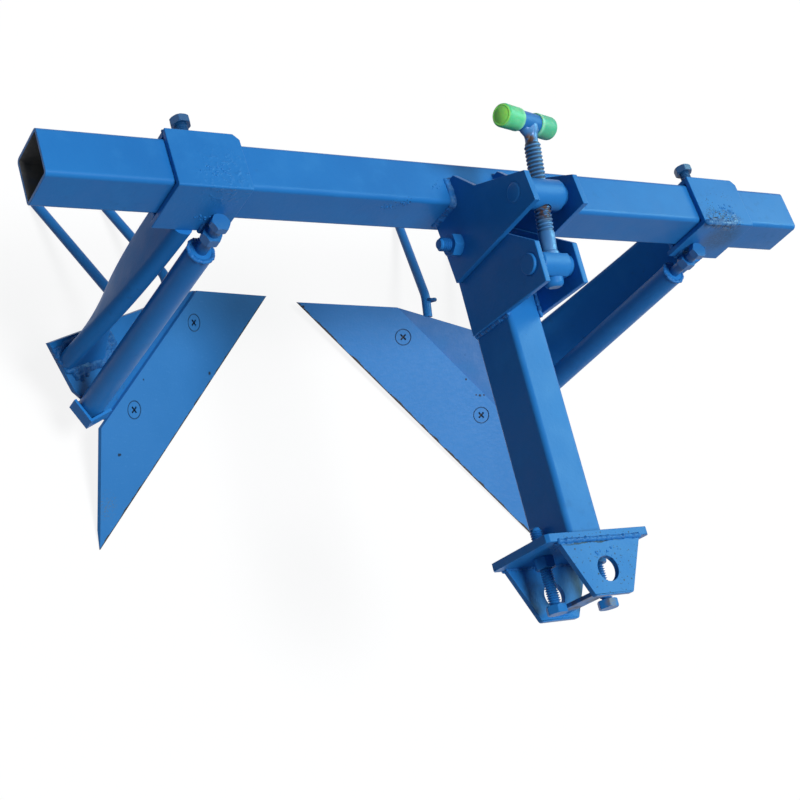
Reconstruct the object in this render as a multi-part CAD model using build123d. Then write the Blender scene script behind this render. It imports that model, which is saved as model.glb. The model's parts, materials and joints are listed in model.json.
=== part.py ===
from build123d import *
import math
import os

os.makedirs("parts", exist_ok=True)

# Driving sizes, in millimetres and degrees

# Toolbar, a square tube across the machine
toolbar_length = 917.0
toolbar_size = 50.0
toolbar_wall = 3.5
toolbar_round = 5.0

# How the toolbar frame stands to the level drawbar
frame_tilt = 6.42
hitch_reach = 413.7
hitch_rise = 15.75

# Pitch pivot and mast, measured from the toolbar centre
pivot_ahead = 62.5
pivot_up = 6.0
pivot_bolt_r = 7.0
pivot_flats = 21.0
pivot_head_t = 9.0
pivot_nut_t = 11.0
mast_plate_t = 6.0
mast_inner_half = 26.5
mast_front = 93.5
mast_bottom = 15.0
mast_top = 127.5
mast_top_depth = 33.5
mast_rest_back = 27.0
mast_rest_up = 32.5
mast_ear_back = 2.0
mast_ear_up = 9.0
right_ear_more = 10.0
upper_pin_ahead = 69.0
upper_pin_up = 104.0

# Drawbar, from the pivot forward to the hitch
drawbar_width = 40.0
drawbar_height = 58.0
drawbar_wall = 3.0
drawbar_round = 5.0
drawbar_start = 26.6
lug_t = 6.0
lug_round = 22.0
lug_front = 89.5
lug_top = 101.0
lug_top_depth = 42.0
pivot_bush_r = 13.0
pivot_bolt_end = 12.5
lower_pin_ahead = 64.4
lower_pin_up = 85.7

# Hitch tongue with its pin hole
tongue_height = 88.5
hitch_plate_t = 8.0
hitch_plate_half = 61.5
hitch_plate_height = 89.5
hitch_plate_ahead = 28.7
cheek_t = 6.0
cheek_root_half = 48.6
cheek_nose_half = 22.3
cheek_nose_ahead = 24.3
hitch_pin_hole_r = 12.0
strut_width = 20.0
strut_t = 4.0
strut_ahead = 17.3
hitch_corner = 3.0
stop_bolt_spacing = 62.5
stop_bolt_shift = 3.25
stop_bolt_drop = 7.75
stop_bolt_r = 6.0
stop_bolt_tail = 21.0
stop_bolt_nose = 46.0
stop_flats = 18.0
stop_head_t = 8.1
stop_nut_t = 10.8

# Depth screw with its tee handle
thread_r = 8.2
shaft_r = 6.25
thread_start = 13.0
thread_chamfer = 1.4
thread_past_nut = 52.0
handle_past_nut = 73.0
handle_shift = -4.0
handle_length = 77.0
handle_bar_r = 10.0
handle_turn = 15.0
grip_r = 11.6
grip_length = 25.0
grip_end = 3.0
grip_round = 2.2
trunnion_r = 15.3
trunnion_top_flat = 8.0
trunnion_low_flat = 13.0
trunnion_round = 2.5
upper_body_short = 5.0
lower_body_end = 13.0
spigot_r = 10.5
spigot_proud = 3.0
spigot_round = 1.5
flange_r = 9.5
flange_t = 4.0
collar_ring_r = 9.5
collar_ring_t = 9.0
collar_ring_round = 5.0

# Carriages that slide on the toolbar
left_collar_x = -301.5
right_collar_x = 341.3
collar_length = 75.0
collar_plate_t = 5.6
collar_skirt = 6.0
collar_corner_cut = 6.0
collar_heel_round = 2.0
bolt_r = 6.0
bolt_flats = 18.0
bolt_head_t = 8.0
nut_t = 10.0
set_bolt_reach = 29.0

# Leg, a flat bar that twists and kicks inward at its foot
leg_t = 19.0
leg_edge_round = 8.0
leg_top_width = 65.5
leg_foot_width = 62.0
leg_top_back = -3.7
leg_foot_back = 11.7
leg_foot_in = 0.7
leg_kick_in = 12.4
leg_kick_power = 5
leg_top_turn = 11.0
leg_foot_turn = 68.0
leg_turn_power = 2.5
leg_sections = 13
leg_past_foot = 24.0
leg_reach = 307.0

# Share and the foot plate under it; along is measured from the tip
tip_in = 29.2
tip_ahead = 172.9
tip_down = 432.4
right_share_lead = 15.0
right_share_in = 4.4
share_sweep = 41.7
share_rise = 6.55
share_tilt = 34.2
share_length = 407.0
share_depth = 89.0
share_outer_taper = 96.0
share_inner_taper = 89.0
right_share_worn = 3.0
right_share_past = 6.0
right_share_more = 7.0
share_t = 5.0
share_edge_t = 1.5
share_bevel = 14.0
share_screw_along = (145.5, 287.0)
share_screw_up = 67.0
share_screw_head_r = 9.5
share_screw_r = 5.0
screw_sunk = 1.0
screw_rim_t = 0.8
recess_span = 9.5
recess_width = 2.2
recess_left = 0.2
recess_share = 0.9
foot_t = 6.0
foot_outer_along = 112.0
foot_outer_up = 201.0
foot_front_along = 101.0
foot_front_up = 140.0
foot_under_along = 120.0
foot_under_up = 48.0
foot_inner_along = 318.0
foot_inner_up = 89.5

# Tail rods that sift behind the foot plate
rod_r = 5.8
rod_along = (202.5, 280.5)
rod_root_length = 27.0
rod_root_rise = 19.0
rod_bend = 24.0
rod_splay = 0.23
rod_end_back = 244.0

# Roller that keeps vines off the leg
roller_r = 13.45
roller_bore_r = 10.4
roller_inset = 18.85
roller_top = 55.0
roller_length = 302.0
roller_chamfer = 0.8
bush_length = 22.0
axle_head_down = 16.0
axle_nut_down = 27.0
socket_wall = 3.0
socket_height = 16.0
socket_base_t = 4.0
socket_turn = 63.0
socket_arm = 13.0
socket_base_edge = 12.0
socket_web_t = 8.0
socket_web_half = 7.0

# Clearances
slide_gap = 0.4
running_gap = 0.05
side_gap = 0.4
screw_gap = 0.7
thrust_gap = 0.35
roller_gap = 0.6
foot_gap = 1.5
set_gap = 0.3
ring_gap = 0.7

low = (Align.CENTER, Align.CENTER, Align.MIN)
high = (Align.CENTER, Align.CENTER, Align.MAX)
tilt = math.radians(frame_tilt)
frame_place = Location((0, hitch_reach, -hitch_rise), (-frame_tilt, 0, 0))
parts = {}


def row_point(y, z):
    back = y * math.cos(tilt) + z * math.sin(tilt)
    up = -y * math.sin(tilt) + z * math.cos(tilt)
    return (back + hitch_reach, up - hitch_rise)


def block(x0, x1, y0, y1, z0, z1):
    middle = Pos((x0 + x1) / 2, (y0 + y1) / 2, (z0 + z1) / 2)
    return middle * Box(abs(x1 - x0), abs(y1 - y0), abs(z1 - z0))


def bar_between(start, end, radius):
    a = Vector(*start)
    b = Vector(*end)
    return Plane(origin=a, z_dir=b - a) * Cylinder(radius, (b - a).length, align=low)


def cross_bar(y, z, radius, x0, x1):
    return bar_between((x0, y, z), (x1, y, z), radius)


def hex_prism(flats, height):
    body = extrude(RegularPolygon(flats / 2, 6, major_radius=False), height)
    ends = Cylinder(flats / 2 * 1.135, height, align=low)
    ends = chamfer(ends.edges(), min(1.0, height / 5))
    return body & ends


def hex_nut(flats, height, bore):
    return hex_prism(flats, height) - Cylinder(bore, 3 * height)


def hex_bolt(flats, head, radius, length):
    shank = Cylinder(radius, length, align=high)
    shank = chamfer(shank.edges().sort_by(Axis.Z)[0], min(1.2, radius / 4))
    return hex_prism(flats, head) + shank


def side_profile(points, x0, x1):
    face = Plane.YZ.offset(x0) * Polygon(*points, align=None)
    return extrude(face, x1 - x0, dir=(1, 0, 0))


def biggest(shape):
    return sorted(shape.solids(), key=lambda s: s.volume)[-1]


# Toolbar
half_bar = toolbar_size / 2
bar_section = RectangleRounded(toolbar_size, toolbar_size, toolbar_round)
bar_hollow = toolbar_size - 2 * toolbar_wall
bar_section -= RectangleRounded(bar_hollow, bar_hollow, max(0.5, toolbar_round - toolbar_wall))
toolbar = extrude(Plane.YZ * bar_section, toolbar_length / 2, both=True)
parts["toolbar"] = frame_place * toolbar

# Mast plates, pivot bolt and pivot nut
mast_outer_half = mast_inner_half + mast_plate_t
for side, x0, more in (("left", -mast_outer_half, 0.0), ("right", mast_inner_half, right_ear_more)):
    mast_points = [
        (-half_bar, -mast_bottom),
        (-mast_front, -mast_bottom),
        (-mast_front, mast_top),
        (-mast_front + mast_top_depth, mast_top),
        (-mast_rest_back + more, half_bar + mast_rest_up),
        (mast_ear_back + more, half_bar + mast_ear_up),
        (mast_ear_back + more, half_bar),
        (-half_bar, half_bar),
    ]
    plate = side_profile(mast_points, x0, x0 + mast_plate_t)
    plate -= cross_bar(-pivot_ahead, pivot_up, pivot_bolt_r, -200, 200)
    plate -= cross_bar(-upper_pin_ahead, upper_pin_up, spigot_r + running_gap, -200, 200)
    parts["mast_plate_" + side] = frame_place * plate
pivot_tail = pivot_nut_t + pivot_bolt_end
pivot_plane = Plane(origin=(mast_outer_half, -pivot_ahead, pivot_up), x_dir=(0, 1, 0), z_dir=(1, 0, 0))
pivot_bolt = hex_bolt(pivot_flats, pivot_head_t, pivot_bolt_r, 2 * mast_outer_half + pivot_tail)
parts["pivot_bolt"] = frame_place * (pivot_plane * pivot_bolt)
nut_plane = Plane(origin=(-mast_outer_half, -pivot_ahead, pivot_up), x_dir=(0, 1, 0), z_dir=(-1, 0, 0))
parts["pivot_nut"] = frame_place * (nut_plane * hex_nut(pivot_flats, pivot_nut_t, pivot_bolt_r))

# Drawbar tube, lugs and pivot bush, in the row frame with the hitch pin at the origin
pivot_y, pivot_z = row_point(-pivot_ahead, pivot_up)
lower_y = pivot_y - lower_pin_ahead
lower_z = pivot_z + lower_pin_up
plate_back = hitch_plate_ahead + hitch_plate_t
tube_back = pivot_y - drawbar_start
tube_section = RectangleRounded(drawbar_width, drawbar_height, drawbar_round)
tube_hollow = RectangleRounded(
    drawbar_width - 2 * drawbar_wall,
    drawbar_height - 2 * drawbar_wall,
    max(0.5, drawbar_round - drawbar_wall),
)
tube_plane = Plane(origin=(0, plate_back, 0), x_dir=(1, 0, 0), z_dir=(0, 1, 0))
parts["drawbar_tube"] = extrude(
    tube_plane * (tube_section - tube_hollow), tube_back - plate_back, dir=(0, 1, 0)
)
lug_inner = drawbar_width / 2
lug_outer = lug_inner + lug_t
lug_front_y = pivot_y - lug_front
lug_top_z = pivot_z + lug_top
lug_low_z = pivot_z - lug_round
lug_outline = Polyline(
    (lug_front_y, lug_low_z),
    (lug_front_y, lug_top_z),
    (lug_front_y + lug_top_depth, lug_top_z),
)
lug_arc = Pos(pivot_y, pivot_z) * Circle(lug_round)
lug_face = make_hull(list(lug_outline.edges()) + list(lug_arc.edges()))
for side, x0 in (("left", -lug_outer), ("right", lug_inner)):
    lug = extrude(Plane.YZ.offset(x0) * lug_face, lug_t, dir=(1, 0, 0))
    lug -= cross_bar(pivot_y, pivot_z, pivot_bush_r, -200, 200)
    lug -= cross_bar(lower_y, lower_z, spigot_r + running_gap, -200, 200)
    parts["lug_" + side] = lug
pivot_bush = cross_bar(pivot_y, pivot_z, pivot_bush_r, -lug_outer, lug_outer)
pivot_bush -= cross_bar(pivot_y, pivot_z, pivot_bolt_r + running_gap, -200, 200)
parts["pivot_bush"] = pivot_bush

# Hitch tongue: plate, cheeks, strut and stop bolts
half_tongue = tongue_height / 2
half_plate = hitch_plate_height / 2
hitch_plate = block(
    -hitch_plate_half, hitch_plate_half, hitch_plate_ahead, plate_back, -half_plate, half_plate
)
hitch_plate = chamfer(hitch_plate.edges().filter_by(Axis.Y), hitch_corner)
stop_left = stop_bolt_shift - stop_bolt_spacing / 2
stop_right = stop_bolt_shift + stop_bolt_spacing / 2
for x in (stop_left, stop_right):
    hitch_plate -= Pos(x, hitch_plate_ahead, -stop_bolt_drop) * Rot(90, 0, 0) * Cylinder(stop_bolt_r, 60)
parts["hitch_plate"] = hitch_plate
cheek_face = Polygon(
    (-cheek_root_half, hitch_plate_ahead),
    (-cheek_nose_half, -cheek_nose_ahead),
    (cheek_nose_half, -cheek_nose_ahead),
    (cheek_root_half, hitch_plate_ahead),
    align=None,
)
cheek_face -= Circle(hitch_pin_hole_r)
cheek = extrude(cheek_face, cheek_t, dir=(0, 0, 1))
nose_edges = cheek.edges().filter_by(Axis.Z).sort_by(Axis.Y)[:2]
cheek = fillet(nose_edges, hitch_corner)
parts["hitch_cheek_upper"] = Pos(0, 0, half_tongue - cheek_t) * cheek
parts["hitch_cheek_lower"] = Pos(0, 0, -half_tongue) * cheek
inner_tongue = half_tongue - cheek_t
parts["tongue_strut"] = block(
    -strut_width / 2, strut_width / 2,
    -strut_ahead - strut_t / 2, -strut_ahead + strut_t / 2,
    -inner_tongue, inner_tongue,
)
stop_length = stop_bolt_nose + hitch_plate_t + stop_bolt_tail
for side, x in (("left", stop_left), ("right", stop_right)):
    head_y = hitch_plate_ahead - stop_bolt_nose
    head_plane = Plane(origin=(x, head_y, -stop_bolt_drop), x_dir=(1, 0, 0), z_dir=(0, -1, 0))
    parts["stop_bolt_" + side] = head_plane * hex_bolt(stop_flats, stop_head_t, stop_bolt_r, stop_length)
    nut_face = Plane(origin=(x, hitch_plate_ahead, -stop_bolt_drop), x_dir=(1, 0, 0), z_dir=(0, -1, 0))
    parts["stop_nut_" + side] = nut_face * hex_nut(stop_flats, stop_nut_t, stop_bolt_r)

# Depth screw, its two trunnions and the tee handle
upper_y, upper_z = row_point(-upper_pin_ahead, upper_pin_up)
screw_span = math.hypot(upper_y - lower_y, upper_z - lower_z)
screw_dir = (0, (upper_y - lower_y) / screw_span, (upper_z - lower_z) / screw_span)
screw_plane = Plane(origin=(0, lower_y, lower_z), x_dir=(1, 0, 0), z_dir=screw_dir)
screw_place = screw_plane.location


def screw_piece(z0, z1, radius):
    return Pos(0, 0, z0) * Cylinder(radius, z1 - z0, align=low)


flange_low = trunnion_top_flat + thrust_gap
ring_high = -trunnion_low_flat - thrust_gap
handle_at = screw_span + handle_past_nut
thread_end = screw_span + thread_past_nut
handle_turned = Pos(handle_shift, 0, handle_at) * Rot(0, 0, handle_turn) * Rot(0, 90, 0)
bar_half = handle_length / 2 - grip_end
handle_bar = handle_turned * Cylinder(handle_bar_r, 2 * bar_half)
thread_body = screw_piece(thread_start, thread_end, thread_r)
thread_body = chamfer(thread_body.edges(), thread_chamfer)
screw = screw_piece(ring_high - collar_ring_t, handle_at, shaft_r)
screw += thread_body
screw += screw_piece(flange_low, flange_low + flange_t, flange_r)
screw -= handle_bar
parts["depth_screw"] = screw_place * biggest(screw)
parts["handle_bar"] = screw_place * handle_bar
ring = screw_piece(ring_high - collar_ring_t, ring_high, collar_ring_r)
ring = fillet(ring.edges().sort_by(Axis.Z)[0], collar_ring_round)
parts["screw_collar"] = screw_place * (ring - screw_piece(-80, 80, shaft_r))
grip = Cylinder(grip_r, grip_length, align=high)
grip = fillet(grip.edges().sort_by(Axis.Z)[-1], grip_round)
grip -= Pos(0, 0, -grip_end) * Cylinder(handle_bar_r, grip_length, align=high)
for side, turn in (("left", 180), ("right", 0)):
    seated = handle_turned * Rot(turn, 0, 0) * Pos(0, 0, handle_length / 2) * grip
    parts["grip_" + side] = screw_place * seated
lower_half = lug_inner - side_gap
lower_trunnion = cross_bar(lower_y, lower_z, trunnion_r, -lower_half, lower_body_end)
lower_trunnion = fillet(lower_trunnion.edges().filter_by(GeomType.CIRCLE), trunnion_round)
spigot_end = lug_outer + spigot_proud
spigot = cross_bar(lower_y, lower_z, spigot_r, -spigot_end, spigot_end)
lower_trunnion += fillet(spigot.edges().filter_by(GeomType.CIRCLE), spigot_round)
over_flat = Box(2 * lower_half, 4 * trunnion_r, 2 * trunnion_r, align=low)
lower_trunnion -= screw_place * Pos(0, 0, trunnion_top_flat) * over_flat
lower_trunnion -= screw_place * Rot(180, 0, 0) * Pos(0, 0, trunnion_low_flat) * over_flat
lower_trunnion -= screw_place * Cylinder(shaft_r + running_gap, 6 * trunnion_r)
parts["lower_trunnion"] = lower_trunnion
upper_half = mast_inner_half - side_gap
upper_trunnion = cross_bar(upper_y, upper_z, trunnion_r, -upper_half, upper_half - upper_body_short)
upper_trunnion = fillet(upper_trunnion.edges().filter_by(GeomType.CIRCLE), trunnion_round)
upper_trunnion += cross_bar(upper_y, upper_z, spigot_r, -mast_outer_half, mast_outer_half)
upper_trunnion -= screw_place * Pos(0, 0, screw_span) * Cylinder(thread_r + screw_gap, 6 * trunnion_r)
parts["upper_trunnion"] = upper_trunnion

# Directions of the left share, in the toolbar frame
swept = math.radians(share_sweep)
rise = math.radians(share_rise)
lean = math.radians(share_tilt)
along = Vector(math.cos(rise) * math.sin(swept), math.cos(rise) * math.cos(swept), math.sin(rise))
flat_back = Vector(-math.cos(swept), math.sin(swept), 0)
square_up = Vector(-math.sin(rise) * math.sin(swept), -math.sin(rise) * math.cos(swept), math.cos(rise))
up_plate = flat_back * math.cos(lean) + square_up * math.sin(lean)
face_out = along.cross(up_plate)


def level_of(point):
    return -point.Y * math.sin(tilt) + point.Z * math.cos(tilt)


def at_level(x, y, level):
    return Vector(x, y, (level + y * math.sin(tilt)) / math.cos(tilt))


left_tip = Vector(left_collar_x + tip_in, -tip_ahead, -tip_down)
stand_level = level_of(left_tip)
floor_level = level_of(left_tip - face_out * share_edge_t)

# Collar of two angles around the toolbar, made once about X = 0
half_collar = collar_length / 2
inner = half_bar + slide_gap
outer = inner + collar_plate_t
front_points = [
    (-outer, -outer - collar_skirt),
    (-inner, -outer - collar_skirt),
    (-inner, inner),
    (outer, inner),
    (outer, outer),
    (-outer, outer),
]
rear_points = [
    (-inner, -outer),
    (outer, -outer),
    (outer, inner),
    (inner, inner),
    (inner, -inner),
    (-inner, -inner),
]
collar_front = side_profile(front_points, -half_collar, half_collar)
heel = [e for e in collar_front.edges().filter_by(Axis.X) if e.center().Y < -outer + 0.1 and e.center().Z > 0]
collar_front = fillet(heel, collar_heel_round)
corner_cut = Pos(half_collar, outer, inner) * Rot(0, 0, 45) * Box(
    collar_corner_cut * math.sqrt(2), collar_corner_cut * math.sqrt(2), 4 * collar_plate_t
)
collar_front -= corner_cut
collar_rear = side_profile(rear_points, -half_collar, half_collar)
heel = [e for e in collar_rear.edges().filter_by(Axis.X) if e.center().Y > outer - 0.1 and e.center().Z < 0]
collar_rear = fillet(heel, collar_heel_round)
collar_rear -= bar_between((0, 0, 0), (0, 3 * outer, 0), bolt_r)
set_nut_plane = Plane(origin=(0, outer, 0), x_dir=(1, 0, 0), z_dir=(0, 1, 0))
set_nut = set_nut_plane * hex_nut(bolt_flats, nut_t, bolt_r)
set_head_plane = Plane(origin=(0, outer + set_bolt_reach, 0), x_dir=(1, 0, 0), z_dir=(0, 1, 0))
set_length = outer + set_bolt_reach - half_bar - set_gap
set_bolt = set_head_plane * hex_bolt(bolt_flats, bolt_head_t, bolt_r, set_length)

# Roller, axle and socket of the left carriage
roller_x = left_collar_x + roller_inset
roller_y = -outer - bolt_flats / 2
roller_place = Pos(roller_x, roller_y, 0)
roller_low = -roller_top - roller_length
socket_low = roller_low - side_gap - socket_base_t
axle_length = -axle_head_down - socket_low
axle_bolt = Pos(0, 0, -axle_head_down) * hex_bolt(bolt_flats - 2 * set_gap, bolt_head_t, bolt_r, axle_length)
axle_bolt = roller_place * axle_bolt
axle_nut = roller_place * Pos(0, 0, -axle_nut_down - nut_t) * hex_nut(bolt_flats, nut_t, bolt_r)
roller_tube = Pos(0, 0, roller_low) * Cylinder(roller_r, roller_length, align=low)
roller_tube = chamfer(roller_tube.edges(), roller_chamfer)
roller_tube -= Pos(0, 0, roller_low) * Cylinder(roller_bore_r, 4 * roller_length)
bush = Cylinder(roller_bore_r, bush_length, align=low) - Cylinder(bolt_r + running_gap, 4 * bush_length)
roller_tube = roller_place * roller_tube
bush_lower = roller_place * Pos(0, 0, roller_low) * bush
bush_upper = roller_place * Pos(0, 0, -roller_top - bush_length) * bush

# Share screw, made once with its head level with the share face
head_low = share_screw_head_r - share_screw_r
cone_low = -screw_sunk - head_low
head_cone = Pos(0, 0, cone_low) * Cone(share_screw_r, share_screw_head_r, head_low, align=low)
screw_stem = Pos(0, 0, cone_low) * Cylinder(share_screw_r, share_t + foot_t + 2 * screw_sunk + cone_low, align=high)
head_rim = Pos(0, 0, -screw_sunk) * Cylinder(share_screw_head_r, screw_rim_t, align=low)
sink_rim = Pos(0, 0, -screw_sunk) * Cylinder(share_screw_head_r + ring_gap, 3, align=low)
recess_depth = (head_low + screw_sunk) * recess_share
recess = Box(recess_span, recess_width, recess_depth) + Box(recess_width, recess_span, recess_depth)
share_screw = head_cone + screw_stem + head_rim - Pos(0, 0, -recess_left) * recess
screw_sink = head_cone + screw_stem + sink_rim
screw_places = [Pos(a, share_screw_up, 0) for a in share_screw_along]

# Leg blank, to be cut to the foot plate
leg_faces = []
for step in range(leg_sections):
    reach = step / (leg_sections - 1) * (1 + leg_past_foot / leg_reach)
    turn = math.radians(leg_top_turn + (leg_foot_turn - leg_top_turn) * reach ** leg_turn_power)
    leg_middle = (
        left_collar_x + leg_foot_in * reach + leg_kick_in * reach ** leg_kick_power,
        leg_top_back + (leg_foot_back - leg_top_back) * reach,
        -outer - leg_reach * reach,
    )
    leg_width = leg_top_width + (leg_foot_width - leg_top_width) * reach
    leg_plane = Plane(origin=leg_middle, x_dir=(math.cos(turn), -math.sin(turn), 0), z_dir=(0, 0, 1))
    leg_faces.append(leg_plane * RectangleRounded(leg_t, leg_width, leg_edge_round))
leg_blank = loft(leg_faces)
leg_blank -= block(-600, 600, -inner - 60, -inner, -outer - collar_skirt, 0)

# Socket blank for the roller's lower end: a vee of angle iron, a base and a web behind the roller
reach_in = roller_r + roller_gap
arm_out = reach_in + socket_wall
vee = block(-arm_out, socket_arm, -arm_out, -reach_in, 0, socket_height)
vee += block(-arm_out, -reach_in, -arm_out, socket_arm, 0, socket_height)
base = block(-reach_in, socket_arm, -reach_in, socket_arm, 0, socket_base_t)
base_cut = 2 * (socket_arm * math.sqrt(2) - socket_base_edge)
base -= Pos(socket_arm, socket_arm, 0) * Rot(0, 0, 45) * Box(base_cut, 4 * socket_arm, 4 * socket_base_t)
web_back = reach_in + socket_web_t
web = block(-socket_web_half, socket_web_half, 0, web_back, 0, socket_base_t)
web += block(-socket_web_half, socket_web_half, reach_in, web_back, 0, 4 * socket_height)
socket_blank = Rot(0, 0, 90 - socket_turn) * (vee + base) + web - Cylinder(bolt_r, 60)
socket_blank = roller_place * Pos(0, 0, socket_low) * socket_blank


def ground_tools(tip, worn, past, more):
    share_place = Plane(origin=tip, x_dir=along, z_dir=face_out).location

    # Foot plate, cut back around the roller
    foot_face = Polygon(
        (foot_outer_along, foot_outer_up),
        (foot_front_along, foot_front_up),
        (foot_under_along, foot_under_up),
        (foot_inner_along, foot_under_up),
        (foot_inner_along, foot_inner_up),
        align=None,
    )
    foot_low = -share_t - foot_t
    foot_plate = share_place * Pos(0, 0, foot_low) * extrude(foot_face, foot_t, dir=(0, 0, 1))
    foot_plate -= roller_place * Cylinder(roller_r + foot_gap, 4 * roller_length)

    # Share with its sharpened edge
    share_face = Polygon(
        (-past, worn),
        (share_length + more, worn),
        (share_length - share_inner_taper, share_depth),
        (share_outer_taper, share_depth),
        align=None,
    )
    share = extrude(share_face, share_t, dir=(0, 0, -1))
    bevel = Polygon(
        (-5, -share_t - 5),
        (-5, -share_edge_t),
        (0, -share_edge_t),
        (share_bevel, -share_t),
        (share_bevel, -share_t - 5),
        align=None,
    )
    bevel_plane = Plane(origin=(-20, worn, 0), x_dir=(0, 1, 0), z_dir=(1, 0, 0))
    share -= extrude(bevel_plane * bevel, share_length + 40, dir=(1, 0, 0))
    for place in screw_places:
        share -= place * screw_sink
        foot_plate -= share_place * place * screw_sink
    foot_plate = biggest(foot_plate)

    # Tail rods, bent at the root and drooping to the level the tip stands on
    root_rise = math.radians(rod_root_rise)
    rods = []
    for a in rod_along:
        edge = (a - foot_outer_along) / (foot_inner_along - foot_outer_along)
        edge_up = foot_outer_up + edge * (foot_inner_up - foot_outer_up)
        root = tip + along * a + up_plate * edge_up + face_out * (-share_t - foot_t / 2)
        knee = root + Vector(0, math.cos(root_rise), math.sin(root_rise)) * rod_root_length
        end_x = knee.X - rod_splay * (rod_end_back - knee.Y)
        end = at_level(end_x, rod_end_back, floor_level + rod_r)
        path = FilletPolyline(root, knee, end, radius=rod_bend)
        rod = sweep(Plane(origin=root, z_dir=knee - root) * Circle(rod_r), path=path)
        rods.append(biggest(rod - foot_plate))

    # Leg and socket cut to the foot plate
    under_share = share_place * Pos(150, 150, -share_t) * Box(900, 900, 300, align=high)
    over_foot = share_place * Pos(150, 150, foot_low) * Box(900, 900, 300, align=low)
    over_foot &= roller_place * Pos(0, roller_r + 100, 0) * Box(200, 200, 4 * roller_length)
    return {
        "leg": biggest(leg_blank - under_share),
        "foot_plate": foot_plate,
        "share": share_place * share,
        "share_screw_outer": share_place * screw_places[0] * share_screw,
        "share_screw_inner": share_place * screw_places[1] * share_screw,
        "rod_outer": rods[0],
        "rod_inner": rods[1],
        "roller_socket": biggest(socket_blank - over_foot - foot_plate - share_place * share),
    }


# Both carriages: the right one is mirrored about the middle of the collars, its share set a little ahead
middle_x = (left_collar_x + right_collar_x) / 2
mirror_plane = Plane.YZ.offset(middle_x)
right_tip = at_level(left_tip.X + right_share_in, left_tip.Y - right_share_lead, stand_level)
shared = {
    "axle_bolt": axle_bolt,
    "axle_nut": axle_nut,
    "roller_tube": roller_tube,
    "roller_bush_upper": bush_upper,
    "roller_bush_lower": bush_lower,
}
plain = {
    "collar_front": collar_front,
    "collar_rear": collar_rear,
    "set_nut": set_nut,
    "set_bolt": set_bolt,
}
for name, shape in {**ground_tools(left_tip, 0.0, 0.0, 0.0), **shared}.items():
    parts["left_" + name] = frame_place * shape
right_tools = ground_tools(right_tip, right_share_worn, right_share_past, right_share_more)
for name, shape in {**right_tools, **shared}.items():
    parts["right_" + name] = frame_place * mirror(shape, about=mirror_plane)
for side, x in (("left", left_collar_x), ("right", right_collar_x)):
    for name, shape in plain.items():
        parts[side + "_" + name] = frame_place * (Pos(x, 0, 0) * shape)

for name, shape in parts.items():
    export_step(biggest(shape), "parts/" + name + ".step")
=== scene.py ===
import bpy
import json
import math
import random
from mathutils import Matrix, Vector

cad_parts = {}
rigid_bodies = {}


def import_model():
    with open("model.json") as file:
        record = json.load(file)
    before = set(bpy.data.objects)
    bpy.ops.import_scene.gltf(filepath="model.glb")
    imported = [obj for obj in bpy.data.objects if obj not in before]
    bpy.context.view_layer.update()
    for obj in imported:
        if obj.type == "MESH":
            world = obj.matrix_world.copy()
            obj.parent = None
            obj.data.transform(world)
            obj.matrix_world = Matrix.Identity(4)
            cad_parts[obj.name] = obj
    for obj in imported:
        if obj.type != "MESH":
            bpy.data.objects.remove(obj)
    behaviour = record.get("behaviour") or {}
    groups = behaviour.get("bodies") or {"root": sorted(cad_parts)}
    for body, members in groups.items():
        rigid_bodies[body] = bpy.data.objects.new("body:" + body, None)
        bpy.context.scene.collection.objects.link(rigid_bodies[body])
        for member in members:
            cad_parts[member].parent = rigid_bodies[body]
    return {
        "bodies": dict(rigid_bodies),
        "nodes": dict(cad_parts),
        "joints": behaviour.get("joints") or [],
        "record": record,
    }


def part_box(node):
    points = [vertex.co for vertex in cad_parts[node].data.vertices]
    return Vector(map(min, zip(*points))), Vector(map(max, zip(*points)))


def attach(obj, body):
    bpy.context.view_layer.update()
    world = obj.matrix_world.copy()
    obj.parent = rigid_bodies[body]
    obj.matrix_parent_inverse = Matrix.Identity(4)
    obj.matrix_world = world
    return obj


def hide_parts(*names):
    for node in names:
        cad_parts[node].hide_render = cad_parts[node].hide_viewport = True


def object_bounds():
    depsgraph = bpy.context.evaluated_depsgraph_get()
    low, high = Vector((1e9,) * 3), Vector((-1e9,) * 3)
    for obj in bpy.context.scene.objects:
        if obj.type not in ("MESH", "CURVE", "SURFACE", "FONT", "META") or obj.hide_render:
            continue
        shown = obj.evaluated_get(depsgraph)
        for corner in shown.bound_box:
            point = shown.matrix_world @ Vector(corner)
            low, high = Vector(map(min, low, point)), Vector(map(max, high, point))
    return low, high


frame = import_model()
cad_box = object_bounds()
nodes = frame["nodes"]
joints = {joint["name"]: joint for joint in frame["joints"]}
slot_of = {entry["node"]: entry["material_slot"] for entry in frame["record"]["subparts"]}
carrier = {}
for body, members in frame["record"]["behaviour"]["bodies"].items():
    for member in members:
        carrier[member] = body

mm = 0.001
sides = ("left", "right")
outward = {"left": -1, "right": 1}
dice = random.Random(11)

# Toolbar, mast plates and collars, in millimetres, as in the solids
bar_half = 25.0
bar_wall = 3.5
mast_outer = 32.5
mast_inner = 26.5
mast_low = -15.0
mast_ear = {"left": 2.0, "right": 12.0}
upper_pin_ahead = -69.0
upper_pin_up = 104.0
pivot_ahead = -62.5
pivot_up = 6.0
pivot_r = 7.0
pivot_end = -56.0
pivot_plain = 66.0
collar_x = {"left": -301.5, "right": 341.3}
collar_inner = 25.4
collar_outer = 31.0
collar_half = 37.5
bolt_r = 6.0
set_bolt_head = 60.0
set_bolt_nose = 25.4
set_nut_r = 9.6

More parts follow.
